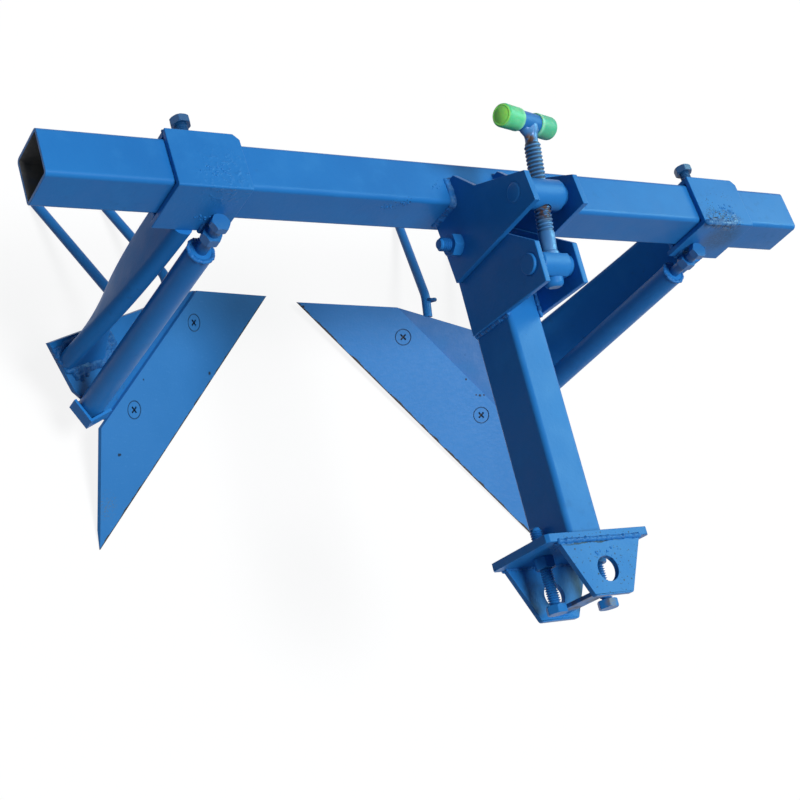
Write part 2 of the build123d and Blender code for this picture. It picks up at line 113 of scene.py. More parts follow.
# Drawbar and hitch
tube_half = 20.0
tube_wall = 3.0
tube_rise = 29.0
tube_end = 325.7
lug_ahead = 262.8
lug_low = -24.8
bush_r = 13.0
plate_front = 28.7
plate_back = 36.7
cheek_half = 48.6
cheek_high = 44.25
cheek_low = 38.25
strut_ahead = -17.3
strut_half = 10.0
strut_half_t = 2.0
stop_bolt_x = {"left": -28.0, "right": 34.5}
stop_bolt_up = -7.75
stop_bolt_head = -17.3
stop_bolt_tail = 57.7

# Depth screw and handle
thread_r = 8.2
thread_root = 7.15
thread_pitch = 4.0
thread_low = 31.0
thread_high = 121.6
handle_at = 143.0
handle_shift = -4.0
handle_turn = math.radians(15.0)

# Rollers, shares, foot plates and tail rods
roller_inset = 18.85
roller_ahead = 40.0
roller_top = -55.0
roller_x = {side: collar_x[side] - outward[side] * roller_inset for side in sides}
axle_nut_top = -27.0
axle_nut_low = -37.0
axle_nut_half = 7.5
share_t = 5.0
share_screw_along = (145.5, 287.0)
share_screw_up = 67.0
foot_t = 6.0
foot_edge = ((112.0, 201.0), (318.0, 89.5))
rod_along = (202.5, 280.5)
rod_rise = math.radians(19.0)
rod_r = 5.8

# What each share has past a new one's tip, and what its edge has lost
share_ground = {"left": (0.0, 0.0), "right": (6.0, 3.0)}

# The right share is bolted further ahead, so its foot plate sits back from it
foot_back = {"left": (0.0, 0.0), "right": (9.5, 16.8)}

# Toolbar frame: zero at the toolbar's middle, Z along the rollers
roller_axis = Vector(joints["left_roller_spin"]["axis"])
tilt = math.atan2(roller_axis.y, roller_axis.z)
bar_low, bar_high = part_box("toolbar")
toolbar_place = Matrix.Translation((bar_low + bar_high) / 2) @ Matrix.Rotation(-tilt, 4, "X")
toolbar_turn = toolbar_place.to_3x3()
upward = toolbar_turn @ Vector((0, 0, 1))
forward = toolbar_turn @ Vector((0, -1, 0))

# Screw frame: zero at the lower trunnion, Z up the depth screw
screw_axis = Vector(joints["screw_turn"]["axis"]).normalized()
screw_across = screw_axis.cross(Vector((1, 0, 0)))
screw_turned = Matrix((Vector((1, 0, 0)), screw_across, screw_axis)).transposed().to_4x4()
screw_place = Matrix.Translation(Vector(joints["screw_turn"]["pos_m"])) @ screw_turned


def on_drawbar(x, y, z):
    return Vector((x * mm, y * mm, z * mm))


def on_toolbar(x, y, z):
    return toolbar_place @ on_drawbar(x, y, z)


def on_screw(x, y, z):
    return screw_place @ on_drawbar(x, y, z)


def share_frame(side):
    """Where a new share's tip would be, and its edge, upward and outward directions."""
    mesh = nodes[side + "_share"].data
    tip = min((vertex.co for vertex in mesh.vertices), key=lambda point: point.y)
    out = max(mesh.polygons, key=lambda face: face.area).normal.copy()
    if out.z < 0:
        out.negate()
    level = [v.co for v in mesh.vertices if abs((v.co - tip).dot(out)) < 0.05 * mm]
    far = max(level, key=lambda point: (point - tip).length)
    along = (far - tip).normalized()
    up = out.cross(along)
    if up.z < 0:
        up.negate()
    past, worn = share_ground[side]
    return tip + (along * past - up * worn) * mm, along, up, out


share_frames = {side: share_frame(side) for side in sides}


def on_share(side, along_mm, up_mm, out_mm):
    tip, along, up, out = share_frames[side]
    return tip + (along * along_mm + up * up_mm + out * out_mm) * mm


def on_plate(side, along_mm, up_mm, out_mm):
    back_along, back_up = foot_back[side]
    return on_share(side, along_mm + back_along, up_mm + back_up, out_mm)


# Small tools for modelling
def nothing_selected():
    if bpy.context.mode != "OBJECT":
        bpy.ops.object.mode_set(mode="OBJECT")
    bpy.ops.object.select_all(action="DESELECT")


def only(piece):
    nothing_selected()
    piece.select_set(True)
    bpy.context.view_layer.objects.active = piece


def edit_all(piece):
    only(piece)
    bpy.ops.object.mode_set(mode="EDIT")
    bpy.ops.mesh.select_all(action="SELECT")


def edit_done():
    bpy.ops.object.mode_set(mode="OBJECT")


def renamed(piece, name):
    piece.name = name
    piece.data.name = name
    return piece


def named(name):
    return renamed(bpy.context.object, name)


def settle(piece):
    only(piece)
    bpy.ops.object.transform_apply(location=True, rotation=True, scale=True)


def put(piece, place):
    piece.matrix_world = place
    settle(piece)
    return piece


def apply_modifiers(piece):
    only(piece)
    for modifier in list(piece.modifiers):
        bpy.ops.object.modifier_apply(modifier=modifier.name)


def smooth(piece, degrees):
    only(piece)
    bpy.ops.object.shade_smooth_by_angle(angle=math.radians(degrees))


def even_shade(piece):
    """Smooth shading that keeps the broad flats flat and bends only on the rounded edges."""
    only(piece)
    bpy.ops.object.shade_smooth()
    even = piece.modifiers.new("even shade", "WEIGHTED_NORMAL")
    even.mode = "FACE_AREA"
    even.weight = 100
    even.keep_sharp = False
    apply_modifiers(piece)


def place_along(start, end):
    """Turns the Z axis onto the line from start to end, with its zero at start."""
    turn = (end - start).to_track_quat("Z", "Y").to_matrix().to_4x4()
    return Matrix.Translation(start) @ turn


def joined(name, pieces):
    nothing_selected()
    for piece in pieces:
        piece.select_set(True)
    bpy.context.view_layer.objects.active = pieces[0]
    if len(pieces) > 1:
        bpy.ops.object.join()
    return named(name)


def double_of(piece):
    twin = piece.copy()
    twin.data = piece.data.copy()
    bpy.context.scene.collection.objects.link(twin)
    return twin


def finish_piece(piece, body, material):
    piece.data.materials.clear()
    piece.data.materials.append(material)
    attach(piece, body)
    return piece


def take_over(piece, node):
    """Dresses a piece as the solid whose place it takes."""
    finish_piece(piece, carrier[node], finish_of[node])
    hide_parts(node)
    return piece


def copy_of(node, name, flat=0.0):
    """A merged copy of a solid, its flats made one face each where flat, in degrees, is given."""
    piece = double_of(nodes[node])
    for key in list(piece.keys()):
        del piece[key]
    piece.parent = None
    renamed(piece, name)
    edit_all(piece)
    bpy.ops.mesh.remove_doubles(threshold=0.002 * mm)
    if flat:
        bpy.ops.mesh.dissolve_limited(angle_limit=math.radians(flat))
    bpy.ops.mesh.customdata_custom_splitnormals_clear()
    edit_done()
    return piece


def chain(name, points):
    """Edges through (radius, height) points in millimetres, left in edit mode."""
    nothing_selected()
    radius, height = points[0]
    bpy.ops.mesh.primitive_plane_add(size=mm, location=(radius * mm, 0, height * mm))
    piece = named(name)
    settle(piece)
    edit_all(piece)
    bpy.ops.mesh.merge(type="CENTER")
    for point in points[1:]:
        step = ((point[0] - radius) * mm, 0, (point[1] - height) * mm)
        bpy.ops.mesh.extrude_vertices_move(TRANSFORM_OT_translate={"value": step})
        radius, height = point
    bpy.ops.mesh.select_all(action="SELECT")
    return piece


def closed_skin(piece):
    """Merges the seam and the poles and turns every face outward."""
    edit_all(piece)
    bpy.ops.mesh.remove_doubles(threshold=0.004 * mm)
    bpy.ops.mesh.select_all(action="SELECT")
    bpy.ops.mesh.fill_holes(sides=0)
    bpy.ops.mesh.select_all(action="SELECT")
    bpy.ops.mesh.normals_make_consistent(inside=False)
    edit_done()
    return piece


def lathed(name, points, steps=48):
    piece = chain(name, points)
    bpy.ops.mesh.spin(steps=steps, angle=2 * math.pi, center=(0, 0, 0), axis=(0, 0, 1))
    return closed_skin(piece)


def lathed_pair(name, points):
    """A turned piece modelled once, and its copy for the other side."""
    first = lathed(name, points, steps=40)
    return zip(sides, (first, double_of(first)))


def cut_thread(name, root, crest, pitch, low, high, steps=24):
    """A helical ridge of the given pitch between two heights, closed at both ends."""
    turns = max(1, round((high - low) / pitch) - 1)
    rise = (high - low) / (turns + 1)
    profile = ((root, 0.0), (root, 0.12), (crest, 0.44), (crest, 0.56), (root, 0.88), (root, 1.0))
    piece = chain(name, [(radius, low + part * rise) for radius, part in profile])
    edit_done()
    helix = piece.modifiers.new("helix", "SCREW")
    helix.axis = "Z"
    helix.angle = 2 * math.pi
    helix.screw_offset = rise * mm
    helix.iterations = turns
    helix.steps = steps
    helix.render_steps = steps
    apply_modifiers(piece)
    return closed_skin(piece)


# Paint and plastic finishes
full_part = 0.3
clean_edge = 0.2
number_sums = ("DISTANCE", "DOT_PRODUCT", "LENGTH")


def set_inputs(node, values):
    for name, value in values.items():
        node.inputs[name.replace("_", " ")].default_value = value


class Finish:
    """One node material: a shader, with helpers that add and join its nodes."""

    def __init__(self, name):
        self.material = bpy.data.materials.new(name)
        self.material.use_nodes = True
        self.nodes = self.material.node_tree.nodes
        self.links = self.material.node_tree.links
        self.shader = self.nodes["Principled BSDF"]
        self.where = self.nodes.new("ShaderNodeTexCoord").outputs["Object"]

    def set(self, **values):
        set_inputs(self.shader, values)

    def add(self, kind, **values):
        node = self.nodes.new("ShaderNode" + kind)
        set_inputs(node, values)
        return node

    def join(self, output, node_input):
        self.links.new(output, node_input)

    def turned(self, scale, rotation):
        node = self.add("Mapping", Scale=scale, Rotation=rotation)
        self.join(self.where, node.inputs["Vector"])
        return node.outputs["Vector"]

    def noise(self, scale, detail=3.0, bend=0.0, where=None):
        """Cloudy noise; scale is how many clouds there are in a metre."""
        node = self.add("TexNoise", Scale=scale, Detail=detail, Roughness=0.55, Distortion=bend)
        self.join(where or self.where, node.inputs["Vector"])
        return node.outputs["Fac"]

    def cells(self, scale):
        """The distance to the nearest of scattered points; scale is how many there are in a metre."""
        node = self.add("TexVoronoi", Scale=scale)
        self.join(self.where, node.inputs["Vector"])
        return node.outputs["Distance"]

    def between(self, value, low, high, out_low=0.0, out_high=1.0):
        """Eases from out_low to out_high while a value runs from low to high."""
        node = self.add("MapRange", From_Min=low, From_Max=high, To_Min=out_low, To_Max=out_high)
        node.interpolation_type = "SMOOTHSTEP"
        self.join(value, node.inputs["Value"])
        return node.outputs["Result"]

    def math(self, how, first, second):
        node = self.add("Math")
        node.operation = how
        for socket, value in zip(node.inputs, (first, second)):
            if isinstance(value, (int, float)):
                socket.default_value = value
            else:
                self.join(value, socket)
        return node.outputs["Value"]

    def plus(self, first, second):
        return self.math("ADD", first, second)

    def times(self, first, second):
        return self.math("MULTIPLY", first, second)

    def most(self, first, second):
        return self.math("MAXIMUM", first, second)

    def mix(self, amount, first, second):
        node = self.add("Mix")
        node.data_type = "RGBA"
        self.join(amount, node.inputs[0])
        for socket, value in zip((node.inputs[6], node.inputs[7]), (first, second)):
            if isinstance(value, tuple):
                socket.default_value = (*value, 1.0)
            else:
                self.join(value, socket)
        return node.outputs[2]

    def vector(self, how, first, second=None, scale=None):
        """A vector sum: a length, a distance or a dot product is a number, the rest are vectors."""
        node = self.add("VectorMath")
        node.operation = how
        for socket, value in zip(node.inputs, (first, second)):
            if isinstance(value, Vector):
                socket.default_value = value
            elif value is not None:
                self.join(value, socket)
        if scale:
            self.join(scale, node.inputs["Scale"])
        return node.outputs["Value" if how in number_sums else "Vector"]

    def offset(self, point):
        """The step from a point of the object to the surface."""
        return self.vector("SUBTRACT", self.where, point)

    def distance(self, point):
        """How far the surface lies from a point of the object, in metres."""
        return self.vector("DISTANCE", self.where, point)

    def fade(self, distance, reach):
        """One over the first part of a reach in millimetres, falling to nothing at its end."""
        return self.between(distance, full_part * reach * mm, reach * mm, 1.0, 0.0)

    def near(self, point, reach):
        """One at a point of the object, falling to nothing at the given reach in millimetres."""
        return self.fade(self.distance(point), reach)

    def inside(self, point, reach):
        """One within the given reach of a point, in millimetres, with a clean edge."""
        edge = ((reach - clean_edge) * mm, (reach + clean_edge) * mm)
        return self.between(self.distance(point), *edge, 1.0, 0.0)

    def ahead(self, point, direction):
        """How far the surface lies from a point in one direction, in metres."""
        return self.vector("DOT_PRODUCT", self.offset(point), direction)

    def off_axis(self, point, direction):
        """How far the surface lies from a line through a point, in metres; direction has length one."""
        return self.vector("LENGTH", self.vector("CROSS_PRODUCT", self.offset(point), direction))

    def strip(self, start, end, reach):
        """One along the straight line between two points, falling to nothing at the given reach."""
        direction = (end - start).normalized()
        offset = self.offset(start)
        along = self.vector("DOT_PRODUCT", offset, direction)
        along = self.most(self.math("MINIMUM", along, (end - start).length), 0.0)
        foot = self.vector("SCALE", direction, scale=along)
        return self.fade(self.vector("DISTANCE", offset, foot), reach)

    def colour(self, output):
        self.join(output, self.shader.inputs["Base Color"])

    def roughness(self, output):
        self.join(output, self.shader.inputs["Roughness"])

    def bump(self, heights):
        """Adds bumps in turn; heights is a list of (height, strength, depth in metres)."""
        last = None
        for height, strength, depth in heights:
            node = self.add("Bump", Strength=strength, Distance=depth)
            self.join(height, node.inputs["Height"])
            if last:
                self.join(last, node.inputs["Normal"])
            last = node.outputs["Normal"]
        self.join(last, self.shader.inputs["Normal"])


# Colours, each pair or triple from dark to pale
enamel_blues = ((0.015, 0.160, 0.475), (0.019, 0.187, 0.530), (0.036, 0.232, 0.585))
share_blues = ((0.023, 0.160, 0.430), (0.032, 0.181, 0.468))
thread_blues = ((0.036, 0.160, 0.390), (0.080, 0.275, 0.560))
weld_blues = ((0.013, 0.125, 0.395), (0.024, 0.185, 0.525))
cap_greens = ((0.095, 0.590, 0.260), (0.135, 0.680, 0.320))
scale_greys = ((0.070, 0.074, 0.080), (0.165, 0.150, 0.140))
dirt_tone = (0.030, 0.042, 0.060)
# A dark tone for chips, and for painted shade on the sunk share screw heads
chip_and_shade_tone = (0.010, 0.018, 0.036)
rust_tone = (0.062, 0.031, 0.024)
dust_tone = (0.105, 0.095, 0.085)
# A tone for the painted reflection of the ground on the leg's edge
ground_reflection_tone = (0.300, 0.290, 0.300)
steel_tone = (0.170, 0.185, 0.210)
# A pale tone for painted glints on welds and crust
painted_glint_tone = (0.170, 0.360, 0.600)
olive_tone = (0.006, 0.056, 0.125)
streak_tone = (0.062, 0.235, 0.545)
scrape_tone = (0.120, 0.135, 0.070)
edge_tone = (0.032, 0.028, 0.026)
neck_tone = (0.021, 0.135, 0.365)
# A dark tone for painted shade in the thread grooves
groove_shade_tone = (0.010, 0.022, 0.045)
soot_tone = (0.014, 0.024, 0.050)
overspray_tone = (0.020, 0.070, 0.180)
cap_far_tone = (0.082, 0.510, 0.290)
# A bright tone for the cap ends: painted light
cap_end_lit_tone = (0.350, 0.940, 0.160)
cap_rim_tone = (0.330, 0.800, 0.560)
cap_scuff_tone = (0.300, 0.660, 0.240)
paint_ior = 1.5
satin_gloss = 0.12
# How wide the painted reflection along the leg's edge is, in millimetres
reflection_reach = 10.0
# How much of the painted glint tone goes on the crust
glint_amount = 0.5
sink_amount = 0.6


def shaded(depth, colours):
    """Colours made darker or paler by one factor."""
    return [tuple(depth * part for part in colour) for colour in colours]


def pits(paint, cloud):
    """Broad and small pits in the paint, in patches."""
    broad = paint.between(paint.cells(170.0), 0.11, 0.19, 1.0, 0.0)
    broad = paint.times(broad, paint.between(cloud, 0.36, 0.46))
    small = paint.between(paint.cells(310.0), 0.13, 0.22, 1.0, 0.0)
    small = paint.times(small, paint.between(paint.noise(55.0), 0.42, 0.50))
    return paint.most(broad, small)


def hairline(paint, point, facing):
    """A thin uneven line where the surface crosses a plane."""
    bend = paint.between(paint.noise(70.0), 0.25, 0.75, -0.0012, 0.0012)
    off_line = paint.math("ABSOLUTE", paint.plus(paint.ahead(point, facing), bend), 0.0)
    return paint.between(off_line, 0.0003, 0.0010, 0.9, 0.0)


def enamel(name, grime=0.10, chips=0.5, worn=0.0, gloss=satin_gloss, depth=1.0, lumpy=(), pitted=(),
           stained=(), lines=(), crust_and_glint=(), reflecting_edge=()):
    """Sprayed enamel: cloudy tone, fine orange peel, a few chips; the rest only where named."""
    paint = Finish(name)
    tone = paint.noise(5.0, detail=4.0)
    cloud = paint.noise(30.0, detail=4.0)
    grain = paint.noise(420.0, detail=2.0)
    peel = paint.noise(230.0, detail=2.0)
    dark, main, pale = shaded(depth, enamel_blues)
    body = paint.mix(paint.between(tone, 0.32, 0.68), dark, main)
    body = paint.mix(paint.between(cloud, 0.48, 0.80, 0.0, 0.40), body, pale)
    dirt_where = paint.times(paint.noise(13.0, detail=5.0), paint.noise(110.0, detail=4.0))
    dirt = paint.between(dirt_where, 0.33, 0.46, 0.0, grime)
    body = paint.mix(dirt, body, dirt_tone)
    if worn:
        partial_mask = paint.between(paint.noise(75.0, detail=5.0), 0.38, 0.60, 0.0, worn)
        body = paint.mix(partial_mask, body, dust_tone)
    for point, reach, amount, stain in stained:
        zone = paint.times(paint.near(point, reach), paint.between(grain, 0.30, 0.60, 0.5, 1.0))
        body = paint.mix(paint.times(zone, amount), body, stain)
    # Painted reflection: a grey-brown tone along a line of points, for the ground seen in a rounded edge
    for start, end in zip(reflecting_edge, reflecting_edge[1:]):
        reflection = paint.between(grain, 0.30, 0.60, 0.2, 0.4)
        body = paint.mix(paint.times(paint.strip(start, end, reflection_reach), reflection), body, ground_reflection_tone)
    bumps = [(tone, 0.18, 0.004), (peel, 0.13, 0.0010), (grain, 0.08, 0.0005)]
    chip_where = paint.plus(paint.cells(120.0), paint.between(cloud, 0.38, 0.60, 0.0, 0.7))
    chip = paint.between(chip_where, 0.030, 0.060, chips, 0.0)
    if pitted:
        pit = pits(paint, cloud)
        for point, reach in pitted:
            chip = paint.most(chip, paint.times(pit, paint.near(point, reach)))
    # Crust: cracks and bumps, with a pale tone over its raised spots as a painted glint
    if crust_and_glint:
        crack = paint.between(paint.noise(230.0, detail=4.0, bend=1.5), 0.54, 0.60)
        scab = paint.between(paint.noise(150.0), 0.46, 0.64)
        for point, reach in crust_and_glint:
            here = paint.near(point, reach)
            chip = paint.most(chip, paint.times(crack, here))
            raised_crust_and_glint = paint.times(scab, here)
            body = paint.mix(paint.times(raised_crust_and_glint, glint_amount), body, painted_glint_tone)
            bumps.append((raised_crust_and_glint, 0.5, 0.0020))
    for point, facing, middle, reach in lines:
        line = paint.times(hairline(paint, point, facing), paint.near(middle, reach))
        chip = paint.most(chip, line)
    paint.colour(paint.mix(chip, body, chip_and_shade_tone))
    dull = paint.between(cloud, 0.3, 0.75, 0.34, 0.46)
    paint.roughness(paint.plus(dull, paint.times(dirt, 0.5)))
    paint.set(Specular_IOR_Level=gloss, IOR=paint_ior)
    bumps.append((chip, -0.35, 0.0004))
    for point, reach in lumpy:
        lumps = paint.between(paint.noise(180.0, detail=2.0), 0.46, 0.78)
        bumps.append((paint.times(lumps, paint.near(point, reach)), 0.32, 0.0016))
    paint.bump(bumps)
    return paint.material


# Marks on the shares, each along, up and how wide
share_marks = {
    "left": ((93.2, 49.9, 2.6), (94.8, 48.6, 2.0), (263.5, 8.0, 3.0), (180.0, 80.0, 1.6)),
    "right": (
        (164.0, 84.0, 2.4), (168.0, 81.0, 1.6), (160.5, 88.0, 1.8), (191.4, 86.0, 2.0), (404.0, 5.0, 2.4),
    ),
}
# The right share's paint is made paler than the left's: painted sheen
share_sheen_lift = {"left": 1.0, "right": 1.15}
scrape_at = (41.0, 26.0)
scrape_reach = 20.0
scrape_slant = 0.6
recess_reach = 8.5
sink_ring = (9.2, 10.7)


def share_enamel(side):
    """Satin paint over ground plate: fine drawn streaks, chips, an edge worn to dark steel, and painted
    shade on the sunk screw heads.
    """
    paint = Finish(side + "_share_enamel")
    tip, along, up, out = share_frames[side]
    tone = paint.noise(6.0, detail=4.0)
    fine = paint.noise(60.0, detail=4.0)
    peel = paint.noise(320.0, detail=2.0)
    low, high = shaded(share_sheen_lift[side], share_blues)
    body = paint.mix(paint.between(tone, 0.3, 0.7), low, high)
    drift = math.atan2(along.y, along.x)
    drawn = paint.turned((24.0, 380.0, 380.0), (0, 0, -drift))
    streaks = paint.noise(1.0, detail=5.0, where=drawn)
    body = paint.mix(paint.between(streaks, 0.56, 0.80, 0.0, 0.35), body, streak_tone)
    specks_where = paint.plus(paint.cells(85.0), paint.between(tone, 0.40, 0.60, 0.0, 0.5))
    specks_and_recess_shade = paint.between(specks_where, 0.025, 0.05, 0.8, 0.0)
    for mark_along, mark_up, reach in share_marks[side]:
        specks_and_recess_shade = paint.most(specks_and_recess_shade, paint.near(on_share(side, mark_along, mark_up, 0), reach))
    # Painted shade: the sunk screw heads darkened near each screw's middle
    below = paint.between(paint.ahead(tip, out), -0.0012, -0.0007, 1.0, 0.0)
    ring_inner, ring_outer = sink_ring
    for screw_along in share_screw_along:
        middle = on_share(side, screw_along, share_screw_up, 0)
        recess = paint.times(below, paint.near(middle, recess_reach))
        sink = paint.math("SUBTRACT", paint.inside(middle, ring_outer), paint.inside(middle, ring_inner))
        specks_and_recess_shade = paint.most(specks_and_recess_shade, paint.most(recess, paint.times(sink, sink_amount)))
    body = paint.mix(specks_and_recess_shade, body, chip_and_shade_tone)
    if side == "left":
        scraped = paint.turned((90.0, 900.0, 900.0), (0, 0, -drift - scrape_slant))
        scrape = paint.between(paint.noise(1.0, detail=4.0, where=scraped), 0.56, 0.64, 0.0, 0.75)
        scrape = paint.times(scrape, paint.near(on_share(side, *scrape_at, 0), scrape_reach))
        body = paint.mix(scrape, body, scrape_tone)
    edge = on_share(side, 0, share_ground[side][1], 0)
    rim = paint.plus(paint.ahead(edge, up), paint.between(fine, 0.25, 0.75, -0.0012, 0.0012))
    worn = paint.between(rim, 0.0010, 0.0019, 1.0, 0.0)
    paint.colour(paint.mix(worn, body, edge_tone))
    paint.roughness(paint.between(streaks, 0.3, 0.8, 0.40, 0.54))
    paint.set(Specular_IOR_Level=satin_gloss, IOR=paint_ior)
    bumps = [(tone, 0.15, 0.003), (streaks, 0.12, 0.0006), (peel, 0.12, 0.0008), (specks_and_recess_shade, -0.3, 0.0004)]
    paint.bump(bumps)
    return paint.material


def thread_enamel():
    """Pale paint with painted shade in the thread grooves, weaker low down, and rust at the neck and
    under the upper trunnion.
    """
    paint = Finish("thread_enamel")
    tone = paint.noise(60.0, detail=4.0)
    fine = paint.noise(260.0, detail=4.0)
    body = paint.mix(paint.between(tone, 0.35, 0.7), *thread_blues)
    height = paint.ahead(on_screw(0, 0, 0), screw_axis)
    body = paint.mix(paint.between(height, 0.1215, 0.1235, 0.0, 0.85), body, neck_tone)
    rust_spots = ((on_screw(-5.5, -4.0, 124.0), 8.0), (on_screw(-2.0, -7.0, 51.0), 13.0))
    for point, reach in rust_spots:
        rust = paint.times(paint.near(point, reach), paint.between(fine, 0.36, 0.52))
        body = paint.mix(rust, body, rust_tone)
    # Painted shade: the thread's grooves darkened between the flange and the neck, weaker low down on the
    # screw
    groove = paint.between(paint.off_axis(on_screw(0, 0, 0), screw_axis), 0.0072, 0.0080, 0.88, 0.0)
    above_flange = paint.between(height, 0.0300, 0.0310)
    below_neck = paint.between(height, 0.1210, 0.1220, 1.0, 0.0)
    partial_mask = paint.between(height, 0.0600, 0.0750, 0.55, 1.0)
    for limit in (above_flange, below_neck, partial_mask):
        groove = paint.times(groove, limit)
    paint.colour(paint.mix(groove, body, groove_shade_tone))
    paint.roughness(paint.between(fine, 0.3, 0.7, 0.30, 0.55))
    paint.set(Metallic=0.1, Specular_IOR_Level=0.4, IOR=paint_ior)
    paint.bump([(tone, 0.2, 0.0008), (fine, 0.2, 0.0003)])
    return paint.material


# Painted highlights: a pale tone painted on welds where glints show, each a place, how wide and how much
weld_glints = (
    (on_toolbar(334, -collar_outer, collar_outer), 34.0, 0.55),
    (on_toolbar(-35, -bar_half, 23), 10.0, 0.5),
    (on_toolbar(-34, -8, bar_half), 8.0, 0.35),
)


def weld_enamel(name, depth=1.0):
    """Weld metal under one coat of paint: glassy tops, dirt in the ripples, and a pale tone painted on
    the listed welds as painted highlights.
    """
    paint = Finish(name)
    tone = paint.noise(140.0, detail=4.0)
    low, high = shaded(depth, weld_blues)
    body = paint.mix(paint.between(tone, 0.3, 0.7), low, high)
    soot_where = paint.times(paint.noise(50.0, detail=4.0), paint.noise(260.0))
    body = paint.mix(paint.between(soot_where, 0.30, 0.42, 0.0, 0.45), body, soot_tone)
    # Painted highlights: a pale tone in patches at the listed welds
    partial_mask = paint.between(paint.noise(200.0), 0.46, 0.62, 0.25, 1.0)
    for point, reach, amount in weld_glints:
        pale = paint.times(paint.near(point, reach), partial_mask)
        body = paint.mix(paint.times(pale, amount), body, painted_glint_tone)
    paint.colour(body)
    paint.roughness(paint.between(tone, 0.3, 0.7, 0.32, 0.48))
    paint.set(Specular_IOR_Level=satin_gloss, IOR=paint_ior)
    paint.bump([(tone, 0.18, 0.0010)])
    return paint.material


def green_vinyl():
    """Dipped vinyl caps: clear green with a yellower end disc, painted brighter as painted light coming
    through the vinyl.
    """
    vinyl = Finish("green_vinyl")
    tone = vinyl.noise(90.0)
    fine = vinyl.noise(900.0, detail=2.0)
    body = vinyl.mix(vinyl.between(tone, 0.3, 0.7), *cap_greens)
    middle = on_screw(handle_shift, 0, handle_at)
    bar_axis = on_screw(math.cos(handle_turn), math.sin(handle_turn), 0) - on_screw(0, 0, 0)
    across = vinyl.ahead(middle, bar_axis.normalized())
    body = vinyl.mix(vinyl.between(across, -0.005, 0.005), body, cap_far_tone)
    reach = vinyl.math("ABSOLUTE", across, 0.0)
    # Painted light: the end discs brightened
    body = vinyl.mix(vinyl.between(reach, 0.0374, 0.0382), body, cap_end_lit_tone)
    body = vinyl.mix(vinyl.between(reach, 0.0150, 0.0190, 0.55, 0.0), body, cap_rim_tone)
    scuffs = vinyl.between(vinyl.noise(220.0, detail=4.0), 0.58, 0.72, 0.0, 0.35)
    vinyl.colour(vinyl.mix(scuffs, body, cap_scuff_tone))
    vinyl.roughness(vinyl.between(tone, 0.3, 0.7, 0.30, 0.44))
    vinyl.set(Subsurface_Weight=0.5, Subsurface_Scale=0.008, IOR=1.48, Specular_IOR_Level=0.18)
    vinyl.bump([(tone, 0.15, 0.0015), (fine, 0.10, 0.0003)])
    return vinyl.material


def tube_inside():
    """Bare mill scale inside the tubes, where the spray never reached."""
    scale = Finish("tube_inside")
    tone = scale.noise(40.0, detail=5.0)
    body = scale.mix(scale.between(tone, 0.35, 0.65), *scale_greys)
    overspray = scale.between(scale.noise(25.0, detail=4.0), 0.55, 0.75, 0.0, 0.5)
    scale.colour(scale.mix(overspray, body, overspray_tone))
    scale.roughness(scale.between(tone, 0.3, 0.7, 0.65, 0.9))
    scale.bump([(tone, 0.4, 0.0015)])
    return scale.material


blue_enamel = enamel("blue_enamel")
toolbar_enamel = enamel(
    "toolbar_enamel",
    pitted=((on_toolbar(-104, -bar_half, 14), 12.0), (on_toolbar(-88, -bar_half, 20), 9.0)),
)
collar_enamels = {
    "left": enamel(
        "left_collar_enamel", chips=0.3,
        lumpy=((on_toolbar(-288, -17, collar_outer), 42.0),),
    ),
    "right": enamel(
        "right_collar_enamel",
        pitted=((on_toolbar(336, -12, collar_outer), 40.0),),
        stained=((on_toolbar(350, -collar_outer, 4), 34.0, 0.62, olive_tone),),
        # Crust along the top edge, its raised spots painted pale as glints
        crust_and_glint=[(on_toolbar(x, -25, collar_outer), 18.0) for x in (321, 334, 348)],
    ),
}
hitch_line_y = plate_front - 2.9
hitch_line = on_drawbar(0, hitch_line_y, cheek_high)
hitch_line_middle = on_drawbar(-12, hitch_line_y, cheek_high)
hitch_enamel = enamel(
    "hitch_enamel", grime=0.2, chips=0.8,
    pitted=(
        (on_drawbar(8, 0, cheek_high), 66.0),
        (on_drawbar(-25, 22, cheek_high), 30.0),
        (on_drawbar(46, 32, cheek_high), 26.0),
    ),
    lines=((hitch_line, Vector((0, 1, 0)), hitch_line_middle, 46.0),),
)
# Points along the leg's rear edge, where a reflection of the ground is painted
leg_edge = ((-295, 28, -33), (-292.3, 33, -145), (-286, 33.7, -221), (-291, 30, -261), (-316, 2, -336))
leg_enamel = enamel("leg_enamel", grime=0.25, gloss=0.03, reflecting_edge=[on_toolbar(*spot) for spot in leg_edge])
# The foot plates' paint is made darker than the rest: painted shade
shaded_foot_enamel = enamel("shaded_foot_enamel", grime=0.3, depth=0.78)
handle_enamel = enamel("handle_enamel", grime=0.4, depth=0.95)
set_bolt_enamel = enamel("set_bolt_enamel", grime=0.4, gloss=0.45, depth=0.42)
axle_enamel = enamel("axle_enamel", grime=0.3, gloss=0.35, depth=0.8)
strut_enamel = enamel("strut_enamel", grime=0.5, worn=0.7)
stop_bolt_enamel = enamel(
    "stop_bolt_enamel", grime=0.3,
    stained=((on_drawbar(31.5, -21.5, 1.2), 8.0, 1.0, steel_tone),),
)
weld_finish = weld_enamel("weld_enamel")
carriage_weld_finish = weld_enamel("carriage_weld_enamel", depth=0.68)
scale_finish = tube_inside()
finishes = {"screw_steel": thread_enamel(), "green_plastic": green_vinyl()}
finish_of = {node: finishes.get(slot, blue_enamel) for node, slot in slot_of.items()}
finish_of.update({
    "toolbar": toolbar_enamel,
    "tongue_strut": strut_enamel,
    "stop_bolt_right": stop_bolt_enamel,
    "handle_bar": handle_enamel,
    "hitch_plate": hitch_enamel,
    "hitch_cheek_upper": hitch_enamel,
    "hitch_cheek_lower": hitch_enamel,
})
